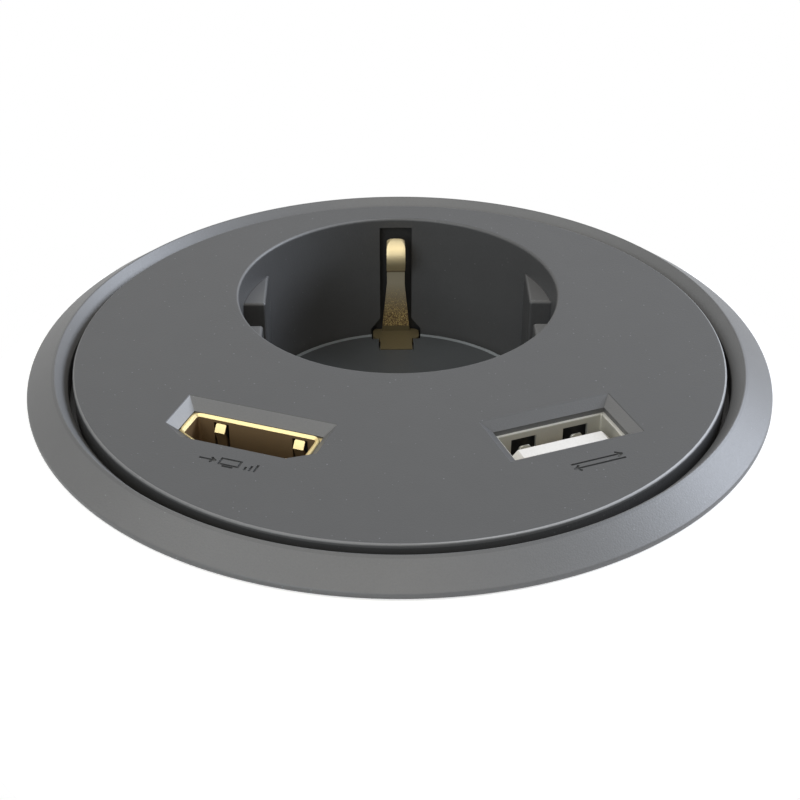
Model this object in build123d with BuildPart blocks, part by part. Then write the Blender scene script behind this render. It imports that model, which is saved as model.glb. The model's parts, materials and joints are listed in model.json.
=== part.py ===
"""Round desk socket for an 80 mm cable hole: one mains well, one video port, one data port.

Z = 0 is the desk's top surface, under the flange, and +Z points up out of the desk. The
origin is the centre of the cable hole. +Y points to the mains well, +X to the data port.
All lengths are in millimetres.
"""

from build123d import *
from math import cos, radians, sin
import os

# The desk, its hole, and the visible ring and disc
DESK_T = 18.0
FLANGE_R = 43.1
FLANGE_LIP = 0.7
CREST_R, CREST_Z = 39.8, 2.95
RECESS_R = 38.4
FACE_R, FACE_Z = 37.8, 2.57
FACE_EDGE = 0.3

# Threaded collar under the flange, and the ledge inside that the disc rests on
COLLAR_R, COLLAR_INNER_R, COLLAR_END = 39.4, 37.4, -38.0
LEDGE_R, LEDGE_Z, LEDGE_T = 35.6, -1.0, 2.0
KEYWAY_W, KEYWAY_D, KEYWAY_TOP = 4.2, 1.1, -2.2

# Gasket in the flange's underside
SEAL_INNER_R, SEAL_OUTER_R, SEAL_T = 40.0, 41.6, 0.8

# Mains well, a side-earth socket of the usual 39.5 mm and 17.5 mm
WELL_Y = 13.95
WELL_R, WELL_DEPTH, WELL_OUTER_R = 19.75, 17.5, 21.4
WELL_RIM = 0.35
FLOOR_T = 1.8
FLOOR_R = 19.6
FLOOR_Z = FACE_Z - WELL_DEPTH
FLOOR_UNDER = FLOOR_Z - FLOOR_T
FLOOR_EDGE = 0.45
RIB_FLAT, RIB_TOP, RIB_GROOVE, RIB_ROUND = 16.75, FACE_Z - 3.45, 5.4, 0.4
PIN_X, PIN_HOLE_R = 9.5, 2.75

# Slots in the well's wall for the earth fingers
SLOT_W, SLOT_TOP, SLOT_FOOT_W = 4.35, FACE_Z - 1.35, 6.95
SLOT_FLARE_Z, SLOT_FOOT_Z, SLOT_NEAR, SLOT_FAR = FACE_Z - 15.37, FACE_Z - 16.97, 18.5, 20.7

# Earth strip: distances from the well's axis, and widths of the finger, foot and strap
STRIP_T = 0.8
STRAP_END, FOOT_NEAR, FOOT_FAR = 15.6, 17.8, 20.4
STRAP_W, FOOT_W, FOOT_ROUND = 4.4, 6.4, 0.76
HEAD_W, LEG_W, LEG_FOOT_W = 2.66, 2.42, 3.88
CREASE_Z, LEG_FLARE_Z = -4.6, -6.9

# Port pockets in the disc: place, turn about Z, and outlines
VIDEO_X, VIDEO_Y, VIDEO_TURN = -16.76, -17.13, -20.7
DATA_X, DATA_Y, DATA_TURN = 17.19, -17.26, 20.7
SHEET = 0.35
VIDEO_POCKET, VIDEO_OPENING, VIDEO_BEVEL = (17.74, 7.97), (15.5, 5.32), 1.15
VIDEO_MOUTH_Z, VIDEO_DEPTH, VIDEO_FLANGE = 1.2, 11.6, (16.9, 7.1)
VIDEO_TUBE, VIDEO_CORNER = (14.84, 5.25), 0.65
DATA_POCKET, DATA_OPENING, DATA_BEVEL = (15.88, 8.25), (13.55, 5.7), 0.9
DATA_MOUTH_Z, DATA_DEPTH, DATA_FLANGE = 1.07, 12.0, (14.6, 7.0)
DATA_TUBE, DATA_CORNER = (13.4, 5.8), 0.5

# Bell mouth of the video shell: rise over its flange, and how far the pocket lies off centre
VIDEO_LIP, VIDEO_FLARE, VIDEO_LIP_CORNER, VIDEO_SHIFT = 0.28, 0.3, 1.2, 0.15

# Sprung fingers in the shells' far walls: centre, width, window's width and top
VIDEO_FINGERS, VIDEO_FINGER_W, VIDEO_WINDOW_W, VIDEO_WINDOW_TOP = (-4.25, 5.15), 1.2, 1.8, -0.35
DATA_FINGERS, DATA_FINGER_W, DATA_WINDOW_W, DATA_WINDOW_TOP = (-3.15, 3.15), 1.5, 3.03, -0.78

# Tongues: width, thickness and offset from the port's middle, and the depth of the tip
VIDEO_TONGUE, VIDEO_TIP = (10.6, 1.6, 0.0), 2.3
DATA_TONGUE, DATA_TIP = (11.6, 1.84, -0.72), 0.4
SLEEVE_WALL, SLEEVE_END = 1.2, -8.0
FIT = 0.05

# Rear cover, a cup whose floor holds the rear ports and the gland
COVER_R, COVER_WALL, COVER_RIM, COVER_END = 36.6, 2.0, -20.0, -46.0
COVER_FLOOR = COVER_END + COVER_WALL
COVER_SCREWS = [(29.0, 4.0), (-29.0, 4.0), (0.0, -28.0)]
BOSS_R, BOSS_END, PILOT_R = 3.2, -18.0, 1.45
SCREW_R, SCREW_HEAD_R, SCREW_HEAD_T = 1.4, 2.8, 2.0
COVER_SEAT = -21.0

# Contact block under the well
BLOCK_R, BLOCK_END, BLOCK_FLANGE_T = 18.0, -36.5, 1.8
BLOCK_EAR_X, BLOCK_EAR_R = 23.6, 3.2
CAVITY_R, CAVITY_FLOOR = 14.3, -19.03
POST_R, POST_TOP = 2.0, -16.93
STOP_R, STOP_TURN, SHUTTER_TRAVEL = 1.2, 30.4, 40.0
SPRING_POCKET_R, SPRING_POCKET_FLOOR = 4.6, -22.0
CHAMBER_X, CHAMBER_Y, CHAMBER_TOP = 8.4, 11.0, -21.0
TERMINAL_Y, EARTH_TERMINAL_Y = 9.5, -14.5
TERMINAL_R, TERMINAL_HOLE_R = 1.6, 1.65

# Cable gland in the cover's floor, for a lead of about 8 mm
GLAND_R, GLAND_BORE_R, LEAD_R = 8.0, 4.7, 4.2
GLAND_HEX, GLAND_FLANGE_T, GLAND_END = 20.0, 3.0, -60.0


def at_well(z):
    """Plane square to Z whose centre is on the mains well's axis."""
    return Plane(origin=(0, WELL_Y, z))


def port_plane(x, y, turn, z, way=1):
    """Plane across a port at height z, facing up (1) or down (-1), far side along +Y."""
    across = (way * cos(radians(turn)), way * sin(radians(turn)), 0)
    return Plane(origin=(x, y, z), x_dir=across, z_dir=(0, 0, way))


def video_plane(z, way=1):
    return port_plane(VIDEO_X, VIDEO_Y, VIDEO_TURN, z, way)


def data_plane(z, way=1):
    return port_plane(DATA_X, DATA_Y, DATA_TURN, z, way)


def side_plane(mouth, across):
    """Plane square to the port's width at a distance along it: X to the far side, Y out."""
    return Plane(mouth.from_local_coords((across, 0, 0)), mouth.y_dir, mouth.x_dir)


def radial_plane(angle):
    """Plane through the Z axis: X points outwards at the angle, Y points up."""
    a = radians(angle)
    return Plane((0, 0, 0), x_dir=(cos(a), sin(a), 0), z_dir=(sin(a), -cos(a), 0))


def trapezoid_outline(width, height, grow=0.0, corner=0.0, shift=0.0):
    """Outline of the video port: full width on the far side, drawn in on the near side."""
    half, top = width / 2 + grow, height / 2 + grow
    foot, side = 0.69 * half, -0.5 * top
    with BuildSketch(Location((0, shift))) as outline:
        with BuildLine():
            Polyline((-half, top), (half, top), (half, side), (foot, -top),
                     (-foot, -top), (-half, side), close=True)
        make_face()
        if corner:
            fillet(outline.vertices(), corner)
    return outline.sketch


def rectangle_outline(width, height, grow=0.0, corner=0.0):
    """Outline of the data port."""
    with BuildSketch() as outline:
        Rectangle(width + 2 * grow, height + 2 * grow)
        if corner:
            fillet(outline.vertices(), corner)
    return outline.sketch


def make_trim_ring():
    """Conical trim ring and collar in one moulding."""
    with BuildPart() as trim_ring:
        with BuildSketch(Plane.XZ) as profile:
            with BuildLine():
                Polyline((COLLAR_INNER_R, COLLAR_END), (COLLAR_R, COLLAR_END), (COLLAR_R, 0),
                         (FLANGE_R, 0), (FLANGE_R, FLANGE_LIP), (CREST_R, CREST_Z),
                         (RECESS_R, 1.2), (RECESS_R, LEDGE_Z), (LEDGE_R, LEDGE_Z),
                         (LEDGE_R, LEDGE_Z - LEDGE_T), (COLLAR_INNER_R, LEDGE_Z - LEDGE_T),
                         close=True)
            make_face()
            near = profile.vertices().sort_by_distance
            fillet([near((FLANGE_R, FLANGE_LIP))[0], near((FLANGE_R, 0))[0]], 0.3)
            chamfer(profile.vertices().sort_by_distance((COLLAR_R, COLLAR_END))[0], 0.8)
        revolve(axis=Axis.Z)
        crest = trim_ring.edges().filter_by(GeomType.CIRCLE).sort_by(Axis.Z)[-1]
        fillet(crest, 0.15)
        # Groove for the gasket
        with BuildSketch(Plane.XY):
            Circle(SEAL_OUTER_R)
            Circle(SEAL_INNER_R, mode=Mode.SUBTRACT)
        extrude(amount=SEAL_T, mode=Mode.SUBTRACT)
        # Two keyways that stop the clamp washer from turning with the nut
        with BuildSketch(Plane.XY.offset(COLLAR_END)):
            with PolarLocations(COLLAR_R, 2):
                Rectangle(2 * KEYWAY_D, KEYWAY_W)
        extrude(amount=KEYWAY_TOP - COLLAR_END, mode=Mode.SUBTRACT)
    return trim_ring.part


def make_desk_seal():
    """Flat gasket that fills the groove flush with the flange's underside."""
    with BuildPart() as desk_seal:
        with BuildSketch(Plane.XY):
            Circle(SEAL_OUTER_R)
            Circle(SEAL_INNER_R, mode=Mode.SUBTRACT)
        extrude(amount=SEAL_T)
    return desk_seal.part


def make_guide_ribs():
    """Flat guide ribs on both sides of the well, each split by a groove with round edges."""
    with BuildPart() as ribs:
        with BuildSketch(at_well(FLOOR_Z)):
            Circle(WELL_R + 0.4)
            Rectangle(2 * RIB_FLAT, 3 * WELL_R, mode=Mode.SUBTRACT)
        extrude(amount=RIB_TOP - FLOOR_Z)
        near_y, far_y = WELL_Y + RIB_GROOVE / 2, WELL_Y + WELL_R
        with BuildSketch(Plane.YZ) as side:
            with BuildLine():
                Polyline((near_y, FLOOR_Z), (far_y, FLOOR_Z), (far_y, RIB_TOP),
                         (near_y, RIB_TOP), close=True)
            make_face()
            fillet(side.vertices().sort_by_distance((near_y, RIB_TOP))[0], RIB_ROUND)
            mirror(about=Plane.YZ.offset(WELL_Y))
        extrude(amount=WELL_R, both=True, mode=Mode.INTERSECT)
        # The long top edges that guide the plug are rounded too
        flats = ribs.edges().filter_by(Axis.Y).group_by(Axis.Z)[-1]
        fillet([e for e in flats if abs(abs(e.center().X) - RIB_FLAT) < 0.01], RIB_ROUND)
    return ribs.part


def make_face_plate():
    """Insert disc with the well's wall, the port sleeves, bosses and snap hooks."""
    with BuildPart() as face_plate:
        with BuildSketch(Plane.XY.offset(LEDGE_Z)):
            Circle(FACE_R)
        extrude(amount=FACE_Z - LEDGE_Z)
        fillet(face_plate.faces().sort_by(Axis.Z)[-1].outer_wire().edges(), FACE_EDGE)
        # Relief that leaves a rim to stand on the ledge
        with BuildSketch(Plane.XY.offset(LEDGE_Z)):
            Circle(LEDGE_R + 0.3)
        extrude(amount=-LEDGE_Z, mode=Mode.SUBTRACT)
        # Wall of the well, with a boss for the contact block on each side
        with BuildSketch(at_well(0)):
            Circle(WELL_OUTER_R)
            with GridLocations(2 * BLOCK_EAR_X, 0, 2, 1):
                Circle(BLOCK_EAR_R)
        extrude(amount=FLOOR_UNDER)
        # Bosses for the rear cover
        with BuildSketch(Plane.XY):
            with Locations(*COVER_SCREWS):
                Circle(BOSS_R)
        extrude(amount=BOSS_END)
        # Sleeves that guide the two couplers
        with BuildSketch(video_plane(0)):
            add(trapezoid_outline(*VIDEO_FLANGE, grow=SLEEVE_WALL))
        extrude(amount=SLEEVE_END)
        with BuildSketch(data_plane(0)):
            add(rectangle_outline(*DATA_FLANGE, grow=SLEEVE_WALL))
        extrude(amount=SLEEVE_END)
        # Snap hooks that catch under the ring's ledge
        catch = LEDGE_Z - LEDGE_T - FIT
        for angle in (20, 160, 270):
            with BuildSketch(radial_plane(angle)):
                with BuildLine():
                    Polyline((33.7, 0), (35.2, 0), (35.2, catch), (36.5, catch),
                             (36.5, catch - 0.5), (35.2, catch - 2.6), (33.7, catch - 2.6),
                             close=True)
                make_face()
            extrude(amount=3.5, both=True)
        # The well's bore and its rounded rim
        with BuildSketch(at_well(FACE_Z)):
            Circle(WELL_R)
        extrude(amount=-WELL_DEPTH - FLOOR_T, mode=Mode.SUBTRACT)
        rim = face_plate.faces().sort_by(Axis.Z)[-1].inner_wires()[0]
        fillet(rim.edges(), WELL_RIM)
        add(make_guide_ribs())
        # Slots for the earth fingers, flared at the foot
        half, foot = SLOT_W / 2, SLOT_FOOT_W / 2
        for far_y in (WELL_Y + SLOT_FAR, WELL_Y - SLOT_NEAR):
            with BuildSketch(Plane.XZ.offset(-far_y)) as slot:
                with BuildLine():
                    Polyline((-half, SLOT_TOP), (half, SLOT_TOP), (half, SLOT_FLARE_Z),
                             (foot, SLOT_FOOT_Z), (foot, FLOOR_UNDER), (-foot, FLOOR_UNDER),
                             (-foot, SLOT_FOOT_Z), (-half, SLOT_FLARE_Z), close=True)
                make_face()
                fillet(slot.vertices().group_by(Axis.Y)[1:3], FOOT_ROUND)
            extrude(amount=SLOT_FAR - SLOT_NEAR, mode=Mode.SUBTRACT)
        # Bevelled pocket of the video port, and the room for its coupler
        with BuildSketch(video_plane(FACE_Z)):
            add(trapezoid_outline(*VIDEO_POCKET, shift=VIDEO_SHIFT))
        with BuildSketch(video_plane(FACE_Z - VIDEO_BEVEL)):
            add(trapezoid_outline(*VIDEO_OPENING, shift=VIDEO_SHIFT))
        loft(ruled=True, mode=Mode.SUBTRACT)
        with BuildSketch(video_plane(FACE_Z - VIDEO_BEVEL)):
            add(trapezoid_outline(*VIDEO_OPENING, shift=VIDEO_SHIFT))
        extrude(amount=VIDEO_MOUTH_Z - FACE_Z + VIDEO_BEVEL, mode=Mode.SUBTRACT)
        with BuildSketch(video_plane(VIDEO_MOUTH_Z)):
            add(trapezoid_outline(*VIDEO_FLANGE, grow=FIT))
        extrude(amount=SLEEVE_END - VIDEO_MOUTH_Z, mode=Mode.SUBTRACT)
        # Bevelled pocket of the data port, and the room for its coupler
        with BuildSketch(data_plane(FACE_Z)):
            add(rectangle_outline(*DATA_POCKET))
        with BuildSketch(data_plane(FACE_Z - DATA_BEVEL)):
            add(rectangle_outline(*DATA_OPENING))
        loft(ruled=True, mode=Mode.SUBTRACT)
        with BuildSketch(data_plane(FACE_Z - DATA_BEVEL)):
            add(rectangle_outline(*DATA_OPENING))
        extrude(amount=DATA_MOUTH_Z - FACE_Z + DATA_BEVEL, mode=Mode.SUBTRACT)
        with BuildSketch(data_plane(DATA_MOUTH_Z)):
            add(rectangle_outline(*DATA_FLANGE, grow=FIT))
        extrude(amount=SLEEVE_END - DATA_MOUTH_Z, mode=Mode.SUBTRACT)
        # Pilot holes for the cover's and the block's screws
        with BuildSketch(Plane.XY.offset(BOSS_END)):
            with Locations(*COVER_SCREWS):
                Circle(PILOT_R)
        extrude(amount=11, mode=Mode.SUBTRACT)
        with BuildSketch(at_well(FLOOR_UNDER)):
            with GridLocations(2 * BLOCK_EAR_X, 0, 2, 1):
                Circle(PILOT_R)
        extrude(amount=10, mode=Mode.SUBTRACT)
    return face_plate.part


def make_well_floor():
    """Floor of the well: pin holes, windows for the fingers, groove for the strap."""
    with BuildPart() as well_floor:
        with BuildSketch(at_well(FLOOR_UNDER)):
            Circle(FLOOR_R)
        extrude(amount=FLOOR_T)
        chamfer(well_floor.faces().sort_by(Axis.Z)[-1].edges(), FLOOR_EDGE)
        # T-shaped windows that the fingers' feet fill, and the pin holes
        neck_near, gap = STRAP_END - STRIP_T - 0.2, 0.2
        with BuildSketch(at_well(FLOOR_UNDER)):
            with GridLocations(0, FOOT_NEAR + FOOT_FAR, 1, 2):
                Rectangle(FOOT_W + 2 * gap, FOOT_FAR - FOOT_NEAR + 2 * gap)
            with GridLocations(0, FOOT_NEAR + neck_near, 1, 2):
                Rectangle(STRAP_W + 2 * gap, FOOT_NEAR - neck_near)
            with GridLocations(2 * PIN_X, 0, 2, 1):
                Circle(PIN_HOLE_R)
        extrude(amount=FLOOR_T, mode=Mode.SUBTRACT)
        # Groove that holds the strap
        with BuildSketch(at_well(FLOOR_UNDER)):
            Rectangle(STRAP_W + 2 * gap, 2 * STRAP_END)
        extrude(amount=STRIP_T, mode=Mode.SUBTRACT)
    return well_floor.part


def make_finger():
    """One sprung finger: rounded contact bulge, crease, and a leg that widens to its foot."""
    with BuildPart() as finger:
        # Side view, distances from the well's axis
        with BuildSketch(Plane.YZ.offset(-FOOT_W / 2)):
            with BuildLine():
                inner = Spline((18.15, CREASE_Z), (17.2, -3.6), (16.35, -2.1), (17.0, -0.5),
                               (18.5, 0.2))
                Line(inner @ 1, (18.95, -0.4))
                outer = Spline((18.95, -0.4), (17.7, -1.0), (17.15, -2.1), (17.9, -3.3),
                               (18.85, -4.75))
                Polyline(outer @ 1, (20.5, -14.2), (20.5, FLOOR_Z - STRIP_T),
                         (19.85, FLOOR_Z - STRIP_T), (19.85, FLOOR_Z), inner @ 0)
            make_face()
        extrude(amount=FOOT_W)
        # Front view, which narrows the strip to its outline
        head, leg, foot = HEAD_W / 2, LEG_W / 2, LEG_FOOT_W / 2
        right = [(head, 0.5), (head, CREASE_Z + 0.3), (leg, CREASE_Z), (leg, LEG_FLARE_Z),
                 (foot, FLOOR_Z), (foot, FLOOR_UNDER)]
        left = [(-x, z) for x, z in reversed(right)]
        with BuildSketch(Plane.XZ) as front_view:
            with BuildLine():
                Polyline(*right, *left, close=True)
            make_face()
            fillet(front_view.vertices().sort_by(Axis.Y)[-2:], 0.85)
        extrude(amount=-2 * SLOT_FAR, mode=Mode.INTERSECT)
    return finger.part


def make_earth_spring():
    """Strap under the floor, a foot and finger at each end and a tail down to its terminal."""
    tail_near, tail_far = EARTH_TERMINAL_Y + 2.9, -20.0
    with BuildPart() as earth_spring:
        with BuildSketch(at_well(FLOOR_UNDER)):
            Rectangle(STRAP_W, 2 * STRAP_END)
        extrude(amount=STRIP_T)
        # Risers up to the feet, which lie flush with the floor's top
        with BuildSketch(at_well(FLOOR_UNDER)):
            with GridLocations(0, 2 * STRAP_END - STRIP_T, 1, 2):
                Rectangle(STRAP_W, STRIP_T)
        extrude(amount=FLOOR_T)
        with BuildSketch(at_well(FLOOR_Z)) as feet:
            with GridLocations(0, FOOT_NEAR + FOOT_FAR, 1, 2):
                Rectangle(FOOT_W, FOOT_FAR - FOOT_NEAR)
            fillet(feet.vertices(), FOOT_ROUND)
            with GridLocations(0, FOOT_NEAR + STRAP_END, 1, 2):
                Rectangle(STRAP_W, FOOT_NEAR - STRAP_END + 2 * STRIP_T)
        extrude(amount=-STRIP_T)
        add(make_finger().moved(Location((0, WELL_Y, 0))))
        add(make_finger().rotate(Axis.Z, 180).moved(Location((0, WELL_Y, 0))))
        # Tail down the block's front and the tab that the screw clamps on
        with BuildSketch(at_well(FLOOR_Z - STRIP_T)):
            with Locations((0, tail_far + STRIP_T / 2)):
                Rectangle(5.0, STRIP_T)
        extrude(amount=BLOCK_END - FLOOR_Z)
        with BuildSketch(at_well(BLOCK_END)):
            with Locations((0, (tail_far + tail_near) / 2)):
                Rectangle(5.6, tail_near - tail_far)
            with Locations((0, EARTH_TERMINAL_Y)):
                Circle(TERMINAL_HOLE_R, mode=Mode.SUBTRACT)
        extrude(amount=-STRIP_T)
    return earth_spring.part


def make_contact_block():
    """Moulded carrier: flange under the floor, shutter cavity, two contact chambers."""
    with BuildPart() as contact_block:
        with BuildSketch(at_well(FLOOR_UNDER)):
            Circle(WELL_OUTER_R)
            with GridLocations(2 * BLOCK_EAR_X, 0, 2, 1):
                Circle(BLOCK_EAR_R)
        extrude(amount=-BLOCK_FLANGE_T)
        with BuildSketch(at_well(FLOOR_UNDER)):
            Circle(BLOCK_R)
        extrude(amount=BLOCK_END - FLOOR_UNDER)
        chamfer(contact_block.faces().sort_by(Axis.Z)[0].edges(), 1.0)
        # Cavity for the shutter, with its post and the stops at both ends of its travel
        with BuildSketch(at_well(FLOOR_UNDER)):
            Circle(CAVITY_R)
        extrude(amount=CAVITY_FLOOR - FLOOR_UNDER, mode=Mode.SUBTRACT)
        with BuildSketch(at_well(CAVITY_FLOOR)):
            Circle(POST_R)
            for turn in (STOP_TURN, -SHUTTER_TRAVEL - STOP_TURN):
                with PolarLocations(PIN_X, 2, start_angle=turn):
                    Circle(STOP_R)
        extrude(amount=POST_TOP - CAVITY_FLOOR)
        with BuildSketch(at_well(CAVITY_FLOOR)):
            Circle(SPRING_POCKET_R)
            Circle(POST_R, mode=Mode.SUBTRACT)
        extrude(amount=SPRING_POCKET_FLOOR - CAVITY_FLOOR, mode=Mode.SUBTRACT)
        # Chambers open from below, each with a bore for the plug's pin
        with BuildSketch(at_well(BLOCK_END)):
            with GridLocations(2 * PIN_X, 0, 2, 1):
                Rectangle(CHAMBER_X, CHAMBER_Y)
        extrude(amount=CHAMBER_TOP - BLOCK_END, mode=Mode.SUBTRACT)
        with BuildSketch(at_well(CAVITY_FLOOR)):
            with GridLocations(2 * PIN_X, 0, 2, 1):
                Circle(PIN_HOLE_R)
        extrude(amount=CHAMBER_TOP - CAVITY_FLOOR, mode=Mode.SUBTRACT)
        # Notch that lets the earth tail past, and the terminal and fixing holes
        with BuildSketch(at_well(FLOOR_UNDER)):
            with Locations((0, -20.4)):
                Rectangle(5.8, 3.2)
            with GridLocations(2 * BLOCK_EAR_X, 0, 2, 1):
                Circle(PILOT_R)
        extrude(amount=-BLOCK_FLANGE_T, mode=Mode.SUBTRACT)
        with BuildSketch(at_well(BLOCK_END)):
            with Locations((PIN_X, TERMINAL_Y), (-PIN_X, TERMINAL_Y), (0, EARTH_TERMINAL_Y)):
                Circle(TERMINAL_HOLE_R)
        extrude(amount=8.5, mode=Mode.SUBTRACT)
    return contact_block.part


def make_shutter():
    """Turning guard: two lobes under the pin holes, with ramps that the pins push aside."""
    top, bottom = -17.0, CAVITY_FLOOR + 0.1
    with BuildPart() as shutter:
        with BuildSketch(at_well(bottom)):
            Circle(4.2)
            Rectangle(2 * PIN_X, 4.4)
            with GridLocations(2 * PIN_X, 0, 2, 1):
                Circle(3.7)
            Circle(POST_R + 0.06, mode=Mode.SUBTRACT)
        extrude(amount=top - bottom)
        for way in (1, -1):
            ramp = Plane((way * 5.4, WELL_Y, 0), x_dir=(0, way, 0), z_dir=(way, 0, 0))
            with BuildSketch(ramp):
                with BuildLine():
                    Polyline((-1.5, top), (4.0, top), (4.0, top - 1.5), close=True)
                make_face()
            extrude(amount=8.0, mode=Mode.SUBTRACT)
    return shutter.part


def make_shutter_spring():
    """Small torsion coil round the post."""
    coil_r, wire_r, turns, pitch = 3.3, 0.25, 2.25, 0.75
    with BuildPart() as shutter_spring:
        with BuildLine():
            coil = Helix(pitch, turns * pitch, coil_r, center=(0, WELL_Y, -21.5))
        with BuildSketch(Plane(origin=coil @ 0, z_dir=coil % 0)):
            Circle(wire_r)
        sweep(is_frenet=True)
    return shutter_spring.part


def make_pin_contact(x):
    """Sprung socket for one plug pin: two bowed leaves on a tab with a terminal hole."""
    tab_top, leaf_top = BLOCK_END, -23.0
    with BuildPart() as contact:
        with BuildSketch(Plane.XZ.offset(-WELL_Y - 3.0)):
            with BuildLine():
                Polyline((3.5, tab_top), (3.5, -31.0), (2.75, -27.6), (3.3, leaf_top),
                         (2.7, leaf_top), (2.15, -27.6), (2.8, -31.2), (2.8, tab_top),
                         close=True)
            make_face()
            mirror(about=Plane.YZ)
        extrude(amount=6.0)
        with BuildSketch(at_well(tab_top)):
            Rectangle(7.0, 6.0)
            with Locations((0, 5.0)):
                Rectangle(5.6, 16.0)
            with Locations((0, TERMINAL_Y)):
                Circle(TERMINAL_HOLE_R, mode=Mode.SUBTRACT)
        extrude(amount=-STRIP_T)
    return contact.part.moved(Location((x, 0, 0)))


def make_screws(places, seat, shaft_end, radius, head_r, head_t):
    """Pan head screws with a cross slot, heads down, one solid for each place."""
    with BuildPart() as screws:
        with BuildSketch(Plane.XY.offset(seat)):
            with Locations(*places):
                Circle(head_r)
        extrude(amount=-head_t)
        fillet(screws.faces().group_by(Axis.Z)[0].edges(), 0.4)
        with BuildSketch(Plane.XY.offset(seat)):
            with Locations(*places):
                Circle(radius)
        extrude(amount=shaft_end - seat)
        chamfer(screws.faces().group_by(Axis.Z)[-1].edges(), 0.5)
        with BuildSketch(Plane.XY.offset(seat - head_t)):
            with Locations(*places):
                Rectangle(1.3 * head_r, 0.7)
                Rectangle(0.7, 1.3 * head_r)
        extrude(amount=0.55 * head_t, mode=Mode.SUBTRACT)
    return screws.part


def make_shell_finger(mouth, across, width, corner, side):
    """Sprung finger in a shell's far wall, from its side view, its free end rounded."""
    tip = max(z for out, z in side)
    with BuildPart() as finger:
        with BuildSketch(side_plane(mouth, across - width / 2)):
            with BuildLine():
                Polyline(*side, close=True)
            make_face()
        extrude(amount=width)
        with BuildSketch(Plane(mouth.origin, mouth.x_dir, -mouth.y_dir)) as front_view:
            with Locations((across, tip)):
                Rectangle(width, VIDEO_DEPTH, align=(Align.CENTER, Align.MAX))
            fillet(front_view.vertices().sort_by(Axis.Y)[-2:], corner)
        extrude(amount=VIDEO_TUBE[1], both=True, mode=Mode.INTERSECT)
    return finger.part


def make_video_shell(mouth):
    """Trapezoid sheet shell with a flange, a bell mouth and two sprung fingers."""
    width, height = VIDEO_TUBE
    with BuildPart() as shell:
        with BuildSketch(mouth):
            add(trapezoid_outline(*VIDEO_FLANGE))
        extrude(amount=-SHEET)
        with BuildSketch(mouth):
            add(trapezoid_outline(*VIDEO_OPENING, -FIT, VIDEO_LIP_CORNER, VIDEO_SHIFT))
        extrude(amount=VIDEO_LIP)
        fillet(shell.faces().sort_by_distance(mouth.offset(VIDEO_LIP).origin)[0].edges(), 0.2)
        with BuildSketch(mouth):
            add(trapezoid_outline(width, height, 0, VIDEO_CORNER))
        extrude(amount=-VIDEO_DEPTH)
        with BuildSketch(mouth):
            add(trapezoid_outline(width, height, -SHEET, VIDEO_CORNER - SHEET))
        extrude(amount=-VIDEO_DEPTH, mode=Mode.SUBTRACT)
        with BuildSketch(mouth):
            add(trapezoid_outline(width, height, -SHEET, VIDEO_CORNER - SHEET))
        with BuildSketch(mouth.offset(VIDEO_LIP)):
            add(trapezoid_outline(width, height, VIDEO_FLARE - SHEET, VIDEO_CORNER))
        loft(ruled=True, mode=Mode.SUBTRACT)
        with BuildSketch(mouth.offset(VIDEO_WINDOW_TOP)):
            with Locations(*((across, height / 2) for across in VIDEO_FINGERS)):
                Rectangle(VIDEO_WINDOW_W, 4 * SHEET)
        extrude(amount=-4.85, mode=Mode.SUBTRACT)
        wall = height / 2
        side = [(wall, -5.4), (wall, -5.0), (wall - 0.1, -2.4), (wall - 0.65, -1.3),
                (wall - 0.05, -0.6), (wall - 0.3, -0.45), (wall - 0.95, -1.25),
                (wall - 0.4, -2.5), (wall - SHEET, -5.0), (wall - SHEET, -5.4)]
        for across in VIDEO_FINGERS:
            add(make_shell_finger(mouth, across, VIDEO_FINGER_W, 0.15, side))
    return shell.part


def make_video_tongue(mouth):
    """Insulator: a base that fills the shell's end and a thin tongue for the contacts."""
    base, (across, thickness, middle) = 3.0, VIDEO_TONGUE
    with BuildPart() as tongue:
        with BuildSketch(mouth.offset(-VIDEO_DEPTH)):
            add(trapezoid_outline(*VIDEO_TUBE, -SHEET - FIT, VIDEO_CORNER - SHEET))
        extrude(amount=base)
        with BuildSketch(mouth.offset(-VIDEO_DEPTH)):
            with Locations((0, middle)):
                Rectangle(across, thickness)
        extrude(amount=VIDEO_DEPTH - VIDEO_TIP)
        with BuildSketch(mouth.offset(-VIDEO_DEPTH)):
            add(video_contact_rows())
        extrude(amount=base, mode=Mode.SUBTRACT)
    return tongue.part


def video_contact_rows():
    """Sections of the nineteen strips, ten on the far face and nine on the near one."""
    strip_w, strip_t = 0.4, 0.15
    face = (VIDEO_TONGUE[1] + strip_t) / 2
    with BuildSketch() as rows:
        with Locations((0, face)):
            with GridLocations(1.0, 0, 10, 1):
                Rectangle(strip_w, strip_t)
        with Locations((0, -face)):
            with GridLocations(1.0, 0, 9, 1):
                Rectangle(strip_w, strip_t)
    return rows.sketch


def make_video_contacts(mouths):
    """Straight strips from each tongue to the board's ends."""
    tail, tip = 2.2, 3.0
    with BuildPart() as contacts:
        for mouth in mouths:
            with BuildSketch(mouth.offset(-VIDEO_DEPTH - tail)):
                add(video_contact_rows())
            extrude(amount=VIDEO_DEPTH + tail - tip)
    return contacts.part


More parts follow.
